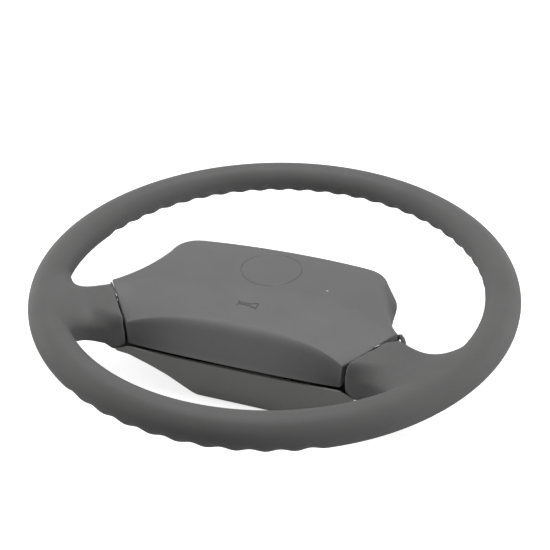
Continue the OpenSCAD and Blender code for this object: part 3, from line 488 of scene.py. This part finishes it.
def buildRim():
    bm = bmesh.new()
    addGrip(bm)
    addSpokes(bm)
    bmesh.ops.recalc_face_normals(bm, faces=bm.faces)
    cage = workPiece("rimCage", bm)
    remesh = cage.modifiers.new("joined", "REMESH")
    remesh.mode = "VOXEL"
    remesh.voxel_size = rim["voxel"] * mm
    applyModifiers(cage)
    bm = takeBack(cage)
    for step in range(rim["melt"]):
        soft = [v for v in bm.verts if seamAway(v) > rim["seamKeep"] + rim["seamStep"] * step]
        bmesh.ops.smooth_vert(bm, verts=soft, factor=0.5, use_axis_x=True, use_axis_y=True, use_axis_z=True)
    cutNotch(bm)
    addHook(bm)
    addLips(bm)
    finishPiece("rimGrip", bm, "wheel", "rim_foam", ["rim_moulding"], 70)


buildRim()
print("rim done")

# Horn pad: a crowned shell whose front rolls over into a deep wall.
# The face's outline has its own points and pulls, and so has the low edge of the wall.
pad = dict(creaseY=-89, frontPullX=67, seamBow=(1, -0.6), tipPull=(-22, 25), waist=(102, 2), waistPull=(102, 27),
           rearCorner=(80, 29.5), rearPullX=40, rearY=35,
           noseY=-110, lowCorner=(-1.2, -1), lowTip=(-1, 1.5), lowTipPull=(115, -28), lowWaist=(113, 4),
           lowWaistPull=(112, 36), lowRearCorner=(92, 39), lowRearY=45,
           crownY=-22, crownZ=14.5, edgeZ=10, lowZ=-18, tipLowZ=3, openZ=1.4, openFrom=0.2627, wall=3, drift=-0.2,
           sideFall=0.45, rearFall=0.8, rollLength=60, rollPower=1.2, rollDrop=7.5, cornerDrop=3.5,
           softness=((8, 4), (2, 2), (2, 6), (6, 6), (6, 6)), plateau=(0.2, 0.16), wallShare=0.48, faceShare=0.99,
           steps=(36, 28, 30, 20, 14), outerSteps=(8, 10, 30), innerSteps=(6, 4, 12),
           signReaches=(4, 2.6, 1.8), signReach=2.5, skinDepth=1.5,
           bossD=12, bossSink=1, bossLowZ=-5, screwX=66, screwYs=(-68, 4))
faceCurves = [((0, pad["creaseY"]), (pad["frontPullX"], pad["creaseY"] + 1), seamEnd),
              (seamEnd, (seamEnd + seamTip) / 2 + Vector(pad["seamBow"]), seamTip),
              (seamTip, seamTip + Vector(pad["tipPull"]), pad["waist"]),
              (pad["waist"], pad["waistPull"], pad["rearCorner"]),
              (pad["rearCorner"], (pad["rearPullX"], pad["rearY"]), (0, pad["rearY"]))]
lowCorner, lowTip = seamEnd + Vector(pad["lowCorner"]), seamTip + Vector(pad["lowTip"])
lowCurves = [((0, pad["noseY"]), (pad["frontPullX"], pad["noseY"]), lowCorner),
             (lowCorner, (seamEnd + seamTip) / 2, lowTip),
             (lowTip, pad["lowTipPull"], pad["lowWaist"]),
             (pad["lowWaist"], pad["lowWaistPull"], pad["lowRearCorner"]),
             (pad["lowRearCorner"], (pad["rearPullX"], pad["lowRearY"]), (0, pad["lowRearY"]))]
low, tipLow = pad["lowZ"], pad["tipLowZ"]
lowHeights = [(low, low), (low, tipLow), (tipLow, low), (low, low), (low, low)]


# One closed outline from curves of the right half, with a value at each point
def outline(curves, values, steps, adjust=None):
    half = []
    for i, (curve, (start, end), count) in enumerate(zip(curves, values, steps)):
        for k in range(count):
            value = mix(start, end, smooth(k / count))
            if adjust:
                value = adjust(i, k / count, value)
            half.append((quad(curve, k / count), value))
    half.append((Vector(curves[-1][2]), values[-1][1]))
    return half + [(Vector((-p.x, p.y)), value) for p, value in half[-2:0:-1]]


# The wall's low edge rises early beside the spoke, to leave the armature's arm free
def raisedAtSeam(i, t, value):
    return mix(value, pad["openZ"], smooth(t / pad["openFrom"])) if i == 1 else value


def padPlateau(p):
    across, along = pad["plateau"]
    return Vector((p.x * across, pad["crownY"] + (p.y - pad["crownY"]) * along))


def inward(p, distance):
    return p + (padPlateau(p) - p).normalized() * distance


def creaseY(x):
    return pad["creaseY"] - (pad["creaseY"] - seamEnd.y) * (abs(x) / seamEnd.x) ** 3


def faceHeight(p):
    beyond = (p.y - pad["crownY"]) / (pad["rearY"] - pad["crownY"])
    fall = pad["sideFall"] * (p.x / seamTip.x) ** 2 + (pad["rearFall"] * beyond ** 2 if beyond > 0 else 0)
    drop = pad["rollDrop"] + pad["cornerDrop"] * (abs(p.x) / seamEnd.x) ** 4
    roll = (1 - clamp((p.y - creaseY(p.x)) / pad["rollLength"])) ** pad["rollPower"]
    return pad["crownZ"] - (pad["crownZ"] - pad["edgeZ"]) * fall - drop * roll


def lift(p, z):
    return Vector((p.x, p.y, z))


# Rings from the wall's low edge over the rounded edge to the crown, at a depth under the skin
def padRings(depth, wallSteps, softSteps, faceSteps):
    lowEdge = outline(lowCurves, lowHeights, pad["steps"], raisedAtSeam)
    lowRing = [lift(inward(p, depth), z) for p, z in lowEdge]
    face, roundings = [], []
    for p, radius in outline(faceCurves, pad["softness"], pad["steps"]):
        face.append(lift(inward(p, depth), faceHeight(p) - depth))
        roundings.append(max(1, radius - depth))
    onWall = [f + (w - f) * min(pad["wallShare"], r / (w - f).length) for f, w, r in zip(face, lowRing, roundings)]
    onFace = []
    for f, r in zip(face, roundings):
        q = inward(f.xy, r)
        onFace.append(lift(q, faceHeight(q) - depth))
    rings = [[mix(a, b, s / wallSteps) for a, b in zip(lowRing, onWall)] for s in range(wallSteps)]
    rings += [[quad(points, s / softSteps) for points in zip(onWall, face, onFace)] for s in range(softSteps + 1)]
    crown = Vector((0, pad["crownY"]))
    for s in range(1, faceSteps + 1):
        share = pad["faceShare"] * s / faceSteps
        ring = []
        for p in onFace:
            q = mix(p.xy, mix(padPlateau(p.xy), crown, share ** 2), share)
            ring.append(lift(q, faceHeight(q) - depth))
        rings.append(ring)
    return [[place(p.x + pad["drift"], p.y, p.z) for p in ring] for ring in rings]


# Signs pressed into the pad's face: a bare ring and the outline of a horn
faceRing = dict(centre=(0, -5), radius=27.4, width=1.5, depth=0.7)
hornSign = dict(centre=(-2, -60), width=1.0, depth=0.75, halfX=10, halfY=5, margin=1,
                strokes=(((-8.5, -2.6), (-8.5, 2.6)), ((-8.5, 0.9), (1.5, 1.1)), ((-8.5, -0.9), (1.5, -1.1)),
                         ((1.5, 1.1), (8.5, 3.4)), ((1.5, -1.1), (8.5, -3.4)), ((8.5, 3.4), (8.5, -3.4))))


def groove(away, sign):
    return sign["depth"] * math.cos(math.pi / 2 * away / sign["width"]) ** 2 if away < sign["width"] else 0.0


def ringAway(p):
    return abs((p - Vector(faceRing["centre"])).length - faceRing["radius"])


def pressedDepth(p):
    depth = groove(ringAway(p), faceRing)
    q = p - Vector(hornSign["centre"])
    if abs(q.x) < hornSign["halfX"] + hornSign["margin"] and abs(q.y) < hornSign["halfY"] + hornSign["margin"]:
        away = min(lineDistance(q, [Vector(a), Vector(b)]) for a, b in hornSign["strokes"])
        depth = max(depth, groove(away, hornSign))
    return depth


def signDistance(p):
    q = p - Vector(hornSign["centre"])
    return min(ringAway(p), max(abs(q.x) - hornSign["halfX"], abs(q.y) - hornSign["halfY"], 0))


def facePlan(vert):
    return Vector((vert.co.x / mm - pad["drift"], vert.co.y / mm))


# Near a sign and on the outer skin
def onSign(vert, reach):
    p = facePlan(vert)
    return signDistance(p) < reach and vert.co.z / mm - rimHeight > faceHeight(p) - pad["skinDepth"]


# A round pin along Z, from lowZ to highZ
def addPin(bm, x, y, radius, lowZ, highZ, sides):
    bmesh.ops.create_cone(bm, cap_ends=True, segments=sides, radius1=radius * mm, radius2=radius * mm,
                          depth=(highZ - lowZ) * mm, matrix=Matrix.Translation(place(x, y, (lowZ + highZ) / 2)))


def buildPad():
    bm = bmesh.new()
    loft(bm, padRings(pad["wall"], *pad["innerSteps"])[::-1] + padRings(0, *pad["outerSteps"]), True, True)
    for reach in pad["signReaches"]:
        near = {v for v in bm.verts if onSign(v, reach)}
        edges = [e for e in bm.edges if e.verts[0] in near or e.verts[1] in near]
        bmesh.ops.subdivide_edges(bm, edges=edges, cuts=1, use_grid_fill=True)
    for vert in bm.verts:
        if onSign(vert, pad["signReach"]):
            p = facePlan(vert)
            vert.co.z = (faceHeight(p) - pressedDepth(p) + rimHeight) * mm
    for x in (-pad["screwX"], pad["screwX"]):
        for y in pad["screwYs"]:
            highZ = faceHeight(Vector((x, y))) - pad["bossSink"]
            addPin(bm, x + pad["drift"], y, pad["bossD"] / 2, pad["bossLowZ"], highZ, 48)
    finishPiece("hornPadShell", bm, "pad", "pad_plastic", ["horn_pad"], 50)


buildPad()
print("pad done")

# Back cover: a thin tray with a keel, open to the pad and round the column.
# A keel has heights at distances from the middle, and turnUp leads from the bottom into the edge.
cover = dict(topZ=pad["lowZ"] - 4.4, cornerZ=pad["lowZ"] - 2.1, tipZ=-11.5, ear=(106.8, -110.9), earZ=-24.2,
             earFrom=0.875, earPull=(6, 9), inset=0.7, gapShare=0.8, sidePull=(116, -40), side=(110, 4),
             cornerPull=(109, 33), corner=(89, 36), rearPullX=40, rearY=42,
             wall=2.5, foot=3, columnR=38, collarR=46, collarSlope=1.2, steps=(40, 24, 28, 20, 16), bottomSteps=24,
             turnUp=((1.7, 0.2), (0.9, 0.6), (0.5, 1.1), (0.2, 2), (0.1, 3)), edgeRise=2.2, edgeDrop=0.2, seamSteps=6,
             screwX=52, screwYs=(-78, 14), seatZ=-39, headR=5.25, holeR=2.6, bossR=7.5, bossSink=1.2, bossTopZ=-22,
             cutPast=2, seatLap=1, pinSides=40,
             keelLeft=((0, -59), (33, -59), (38, -57), (60, -44), (75, -37), (95, -29), (103, -28), (132, -23)),
             keelRight=((0, -59), (33, -59), (60, -53), (75, -47), (95, -37), (104, -33), (132, -26)))
ear = Vector(cover["ear"])
coverTip = seamTip + seamNormal * cover["gapShare"]
coverFront = pad["noseY"] + cover["inset"]
coverCurves = [((0, coverFront), (pad["frontPullX"], coverFront), ear),
               (ear, seamEnd + Vector(cover["earPull"]), coverTip),
               (coverTip, cover["sidePull"], cover["side"]),
               (cover["side"], cover["cornerPull"], cover["corner"]),
               (cover["corner"], (cover["rearPullX"], cover["rearY"]), (0, cover["rearY"]))]
top, tip = cover["topZ"], cover["tipZ"]
coverHeights = [(top, cover["cornerZ"]), (cover["earZ"], tip), (tip, top), (top, top), (top, top)]


def keelHeight(p):
    x, keel = abs(p.x), cover["keelRight"] if p.x > 0 else cover["keelLeft"]
    for (x0, z0), (x1, z1) in zip(keel, keel[1:]):
        if x <= x1:
            break
    collar = -rimHeight + max(0, p.length - cover["collarR"]) * cover["collarSlope"]
    return min(mix(z0, z1, clamp((x - x0) / (x1 - x0))), collar)


# Share of the seam's steps passed at a share t of its curve, with one whole step before the arm's opening
def seamShare(t, steps):
    start = pad["openFrom"]
    return t / start / steps if t < start else (1 + (steps - 1) * (t - start) / (1 - start)) / steps


# The cover's edge stays low beside the pad's corner, and rises past the arm
def lowAtEar(i, t, value):
    if i == 0:
        start = cover["earFrom"]
        value = mix(top, cover["cornerZ"], smooth(min(t, start)) ** 2)
        return mix(value, cover["earZ"], max(0, t - start) / (1 - start))
    if i == 1:
        return mix(cover["earZ"], tip, smooth(seamShare(t, cover["seamSteps"])) ** 2)
    return value


def overKeel(p, edgeZ, depth, inset, rise):
    q = inward(p, depth + inset)
    roof = edgeZ - cover["edgeDrop"] * (cover["edgeRise"] - min(rise, cover["edgeRise"]))
    return lift(q, min(keelHeight(q) + rise + depth, roof))


# Rings from the column's opening along the keel and up to the edge, at a depth inside the skin
def coverRings(depth):
    edge = outline(coverCurves, coverHeights, cover["steps"], lowAtEar)
    rings = []
    for s in range(cover["bottomSteps"], 0, -1):
        ring = []
        for p, _ in edge:
            start = inward(p, depth + cover["foot"])
            q = mix(start, p.normalized() * cover["columnR"], s / cover["bottomSteps"])
            ring.append(lift(q, keelHeight(q) + depth))
        rings.append(ring)
    for inset, rise in ((cover["foot"], 0), *cover["turnUp"]):
        rings.append([overKeel(p, z, depth, inset, rise) for p, z in edge])
    rings.append([lift(inward(p, depth), z) for p, z in edge])
    return [[place(*p) for p in ring] for ring in rings]


def cutOrJoin(piece, bm, operation):
    tool = workPiece("tool", bm)
    boolean = piece.modifiers.new("work", "BOOLEAN")
    boolean.operation = operation
    boolean.object = tool
    boolean.solver = "EXACT"
    applyModifiers(piece)
    bpy.data.objects.remove(tool)


def buildCover():
    bm = bmesh.new()
    loft(bm, coverRings(0) + coverRings(cover["wall"])[::-1], closed=True)
    bmesh.ops.recalc_face_normals(bm, faces=bm.faces)
    tray = workPiece("coverTray", bm)
    spots = [(x, y) for x in (-cover["screwX"], cover["screwX"]) for y in cover["screwYs"]]
    bosses = bmesh.new()
    for x, y in spots:
        addPin(bosses, x, y, cover["bossR"], keelHeight(Vector((x, y))) + cover["bossSink"], cover["bossTopZ"],
               cover["pinSides"])
    cutOrJoin(tray, bosses, "UNION")
    holes = bmesh.new()
    for x, y in spots:
        addPin(holes, x, y, cover["headR"], -rimHeight - cover["cutPast"], cover["seatZ"], cover["pinSides"])
        addPin(holes, x, y, cover["holeR"], cover["seatZ"] - cover["seatLap"], cover["bossTopZ"] + cover["cutPast"],
               cover["pinSides"])
    cutOrJoin(tray, holes, "DIFFERENCE")
    finishPiece("backCoverTray", takeBack(tray), "wheel", "cover_plastic", ["back_cover"], 35)


buildCover()
print("cover done")

# Horn springs: drawn wire on a helix, standing under the pad
spring = dict(posts=((-40, -62), (-40, -4), (40, -62), (40, -4)), radius=5.4, wire=0.6, turns=4,
              lowZ=-16.95, highZ=-7.05, sides=12, perTurn=32, keep=0.82)


def springRings(x, y):
    rings = []
    count = spring["turns"] * spring["perTurn"]
    sides = [math.tau * j / spring["sides"] for j in range(spring["sides"])]
    for k in range(count + 1):
        turn = math.tau * k / spring["perTurn"]
        z = mix(spring["lowZ"] + spring["wire"], spring["highZ"] - spring["wire"], smooth(k / count))
        ring = []
        for side in sides:
            reach = spring["radius"] + spring["wire"] * math.cos(side)
            ring.append(place(x + reach * math.cos(turn), y + reach * math.sin(turn),
                              z + spring["wire"] * math.sin(side)))
        rings.append(ring)
    return rings


def buildSprings():
    for i, (x, y) in enumerate(spring["posts"]):
        bm = bmesh.new()
        loft(bm, springRings(x, y), True, True)
        coil = finishPiece("hornSpring%d" % (i + 1), bm, "wheel", "spring_steel", ["horn_spring_%d" % (i + 1)], 50)
        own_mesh(coil)


buildSprings()
print("springs done")

# Studio, in metres: a white floor, a white surround and three soft lamps.
# The side lamps have no gloss, or they would leave a glare on the pad in low views.
studio = dict(floorSize=6.0, floorDrop=0.0005, floorColour=0.8, floorBounce=0.55, floorGlow=0.72,
              floorRoughness=0.9, floorSpecular=0.1, worldFill=0.2, aim=(0, 0, 0.06), lamps=(
                  dict(name="overhead", at=(-0.16, 0.38, 1.53), size=1.1, power=13, gloss=True),
                  dict(name="left", at=(-1.38, -0.15, 0.4), size=0.7, power=13.5, gloss=False),
                  dict(name="right", at=(1.4, 0.05, 0.4), size=0.7, power=12.5, gloss=False)))


# The camera sees the floor white, while what lights the wheel is plainer
def buildFloor():
    bm = bmesh.new()
    bmesh.ops.create_grid(bm, x_segments=2, y_segments=2, size=studio["floorSize"] / 2)
    floor = workPiece("floor", bm)
    material, nodes, links, shader = newMaterial("floorPaper")
    shader.inputs["Roughness"].default_value = studio["floorRoughness"]
    shader.inputs["Specular IOR Level"].default_value = studio["floorSpecular"]
    shader.inputs["Emission Color"].default_value = (1, 1, 1, 1)
    seen = nodes.new("ShaderNodeLightPath").outputs["Is Camera Ray"]
    colour = rangeNode(nodes, links, seen, studio["floorBounce"], studio["floorColour"])
    links.new(colour, shader.inputs["Base Color"])
    links.new(rangeNode(nodes, links, seen, 0, studio["floorGlow"]), shader.inputs["Emission Strength"])
    floor.data.materials.append(material)
    floor.location.z = -studio["floorDrop"]


# White for the camera and in gloss, dimmer as a light
def buildWorld():
    world = bpy.data.worlds.new("studio")
    world.use_nodes = True
    bpy.context.scene.world = world
    nodes, links = world.node_tree.nodes, world.node_tree.links
    path = nodes.new("ShaderNodeLightPath")
    either = nodes.new("ShaderNodeMath")
    either.operation = "MAXIMUM"
    links.new(path.outputs["Is Camera Ray"], either.inputs[0])
    links.new(path.outputs["Is Glossy Ray"], either.inputs[1])
    background = nodes["Background"]
    background.inputs["Color"].default_value = (1, 1, 1, 1)
    links.new(rangeNode(nodes, links, either.outputs[0], studio["worldFill"], 1.0), background.inputs["Strength"])


def buildLamps():
    for lamp in studio["lamps"]:
        light = bpy.data.lights.new(lamp["name"], "AREA")
        light.shape = "DISK"
        light.size = lamp["size"]
        light.energy = lamp["power"]
        holder = bpy.data.objects.new(lamp["name"], light)
        holder.location = lamp["at"]
        holder.rotation_euler = (Vector(studio["aim"]) - Vector(lamp["at"])).to_track_quat("-Z", "Y").to_euler()
        holder.visible_glossy = lamp["gloss"]
        bpy.context.scene.collection.objects.link(holder)


# Camera at the photograph's angle: distance in mm from the middle of the rim, lens in mm
view = dict(azimuth=20.4, elevation=33.1, distance=892.8, roll=-1.21, lens=64.18, sensor=36, shift=(0.00185, 0.00807))


def buildCamera():
    azimuth, elevation, roll = (math.radians(view[k]) for k in ("azimuth", "elevation", "roll"))
    back = Vector((math.sin(azimuth) * math.cos(elevation), -math.cos(azimuth) * math.cos(elevation),
                   math.sin(elevation)))
    right = Vector((math.cos(azimuth), math.sin(azimuth), 0))
    upward = back.cross(right)
    right, upward = (right * math.cos(roll) + upward * math.sin(roll),
                     upward * math.cos(roll) - right * math.sin(roll))
    data = bpy.data.cameras.new("photo")
    data.sensor_width = view["sensor"]
    data.sensor_fit = "HORIZONTAL"
    data.lens = view["lens"]
    data.shift_x, data.shift_y = view["shift"]
    camera = bpy.data.objects.new("photo", data)
    matrix = Matrix((right, upward, back)).transposed().to_4x4()
    matrix.translation = place(*(back * view["distance"]))
    camera.matrix_world = matrix
    bpy.context.scene.collection.objects.link(camera)
    bpy.context.scene.camera = camera


buildFloor()
buildWorld()
buildLamps()
bpy.context.scene.view_settings.view_transform = "Standard"
buildCamera()
print("studio and camera done")
